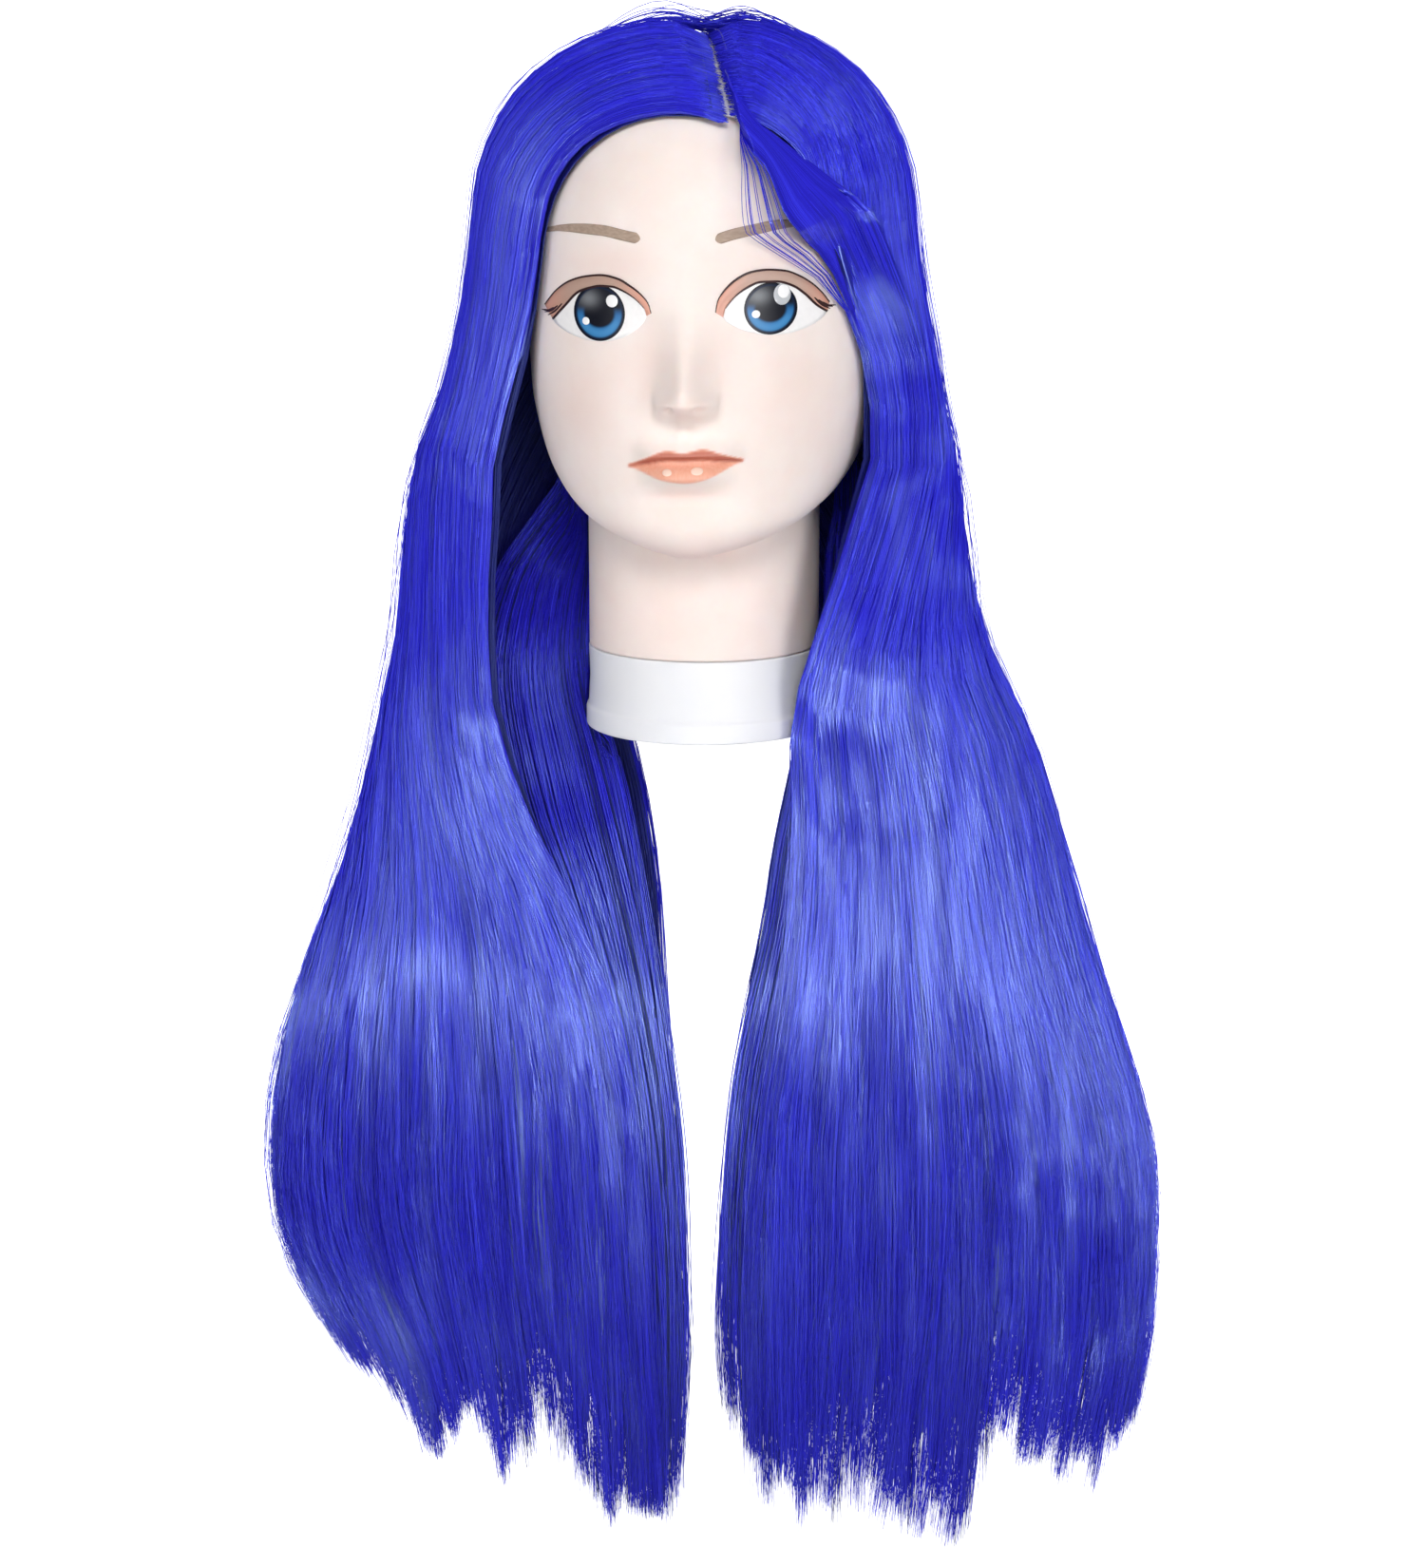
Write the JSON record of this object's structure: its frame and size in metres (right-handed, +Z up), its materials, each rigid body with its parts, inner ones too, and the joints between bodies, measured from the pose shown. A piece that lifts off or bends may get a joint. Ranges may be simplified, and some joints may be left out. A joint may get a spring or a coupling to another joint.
{
  "type": "hairdressing training head",
  "caption": "Mannequin head for hairdressing practice: painted doll face, long straight blue hair parted on top in two loose tails, white neck base with a clamp socket.",
  "frame": {"origin": "centre of the neck base's underside, on the axis of the clamp socket", "axes": "+Z up along the neck, face towards -Y, the mannequin's own left side towards +X"},
  "size_m": [0.4077, 0.2319, 0.6845],
  "materials": {
    "skin": "soft matt vinyl skin with a faint blush",
    "foam": "moulded foam filling, matt",
    "base_white": "white semi-gloss plastic, slightly translucent",
    "socket_grey": "grey moulded plastic",
    "screw": "bright steel",
    "cap_net": "dark blue stretch net",
    "weft_tape": "dark blue stitched tape",
    "scalp": "pale grey-white skin-top strip",
    "hair": "glossy royal blue synthetic fibre"
  },
  "bodies": {
    "head": {"head_skin": "skin", "foam_core": "foam", "neck_base_cup": "base_white", "base_plate": "base_white", "clamp_socket": "socket_grey", "base_screw_1": "screw", "base_screw_2": "screw", "base_screw_3": "screw", "base_screw_4": "screw", "wig_cap": "cap_net", "parting_strip": "scalp", "nape_band": "weft_tape", "weft_track_1": "weft_tape", "weft_track_2": "weft_tape", "weft_track_3": "weft_tape", "weft_track_4": "weft_tape", "weft_track_5": "weft_tape", "left_front_hair": "hair", "left_side_hair": "hair", "left_back_hair": "hair", "right_front_hair": "hair", "right_side_hair": "hair", "right_back_hair": "hair"},
    "left_tail": {"left_tail_inner": "hair", "left_tail_middle": "hair", "left_tail_outer": "hair"},
    "right_tail": {"right_tail_inner": "hair", "right_tail_middle": "hair", "right_tail_outer": "hair"}
  },
  "joints": [
    {"name": "left_tail_swing", "type": "hinge", "parent": "head", "child": "left_tail", "pos_m": [-0.088, 0, 0.05], "axis": [0, 1, 0], "range_deg": [0, 18]},
    {"name": "right_tail_swing", "type": "hinge", "parent": "head", "child": "right_tail", "pos_m": [0.088, 0, 0.05], "axis": [0, -1, 0], "range_deg": [0, 18]}
  ]
}
